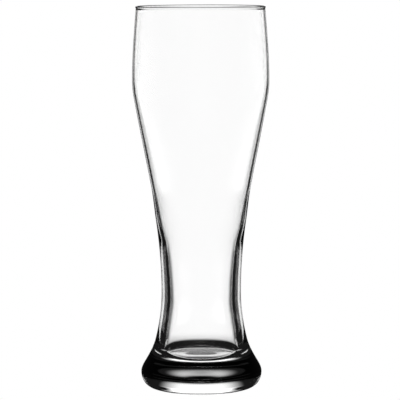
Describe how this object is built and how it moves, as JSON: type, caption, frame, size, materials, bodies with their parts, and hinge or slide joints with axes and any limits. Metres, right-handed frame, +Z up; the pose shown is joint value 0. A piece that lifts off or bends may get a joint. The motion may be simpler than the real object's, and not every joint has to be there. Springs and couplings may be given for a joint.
{
  "type": "weizen glass",
  "caption": "Tall clear wheat beer glass: narrow thick-walled stem, slender cone, full bulge under a thin rim, solid flared base on a ring.",
  "frame": {"origin": "centre of the standing ring under the base, on the surface that the glass stands on", "axes": "+Z up along the axis of the glass, from the base to the rim; X and Y are alike"},
  "size_m": [0.0859, 0.0858, 0.24],
  "materials": {
    "clear_glass": "polished"
  },
  "bodies": {
    "root": {"glass": "clear_glass"}
  },
  "joints": []
}
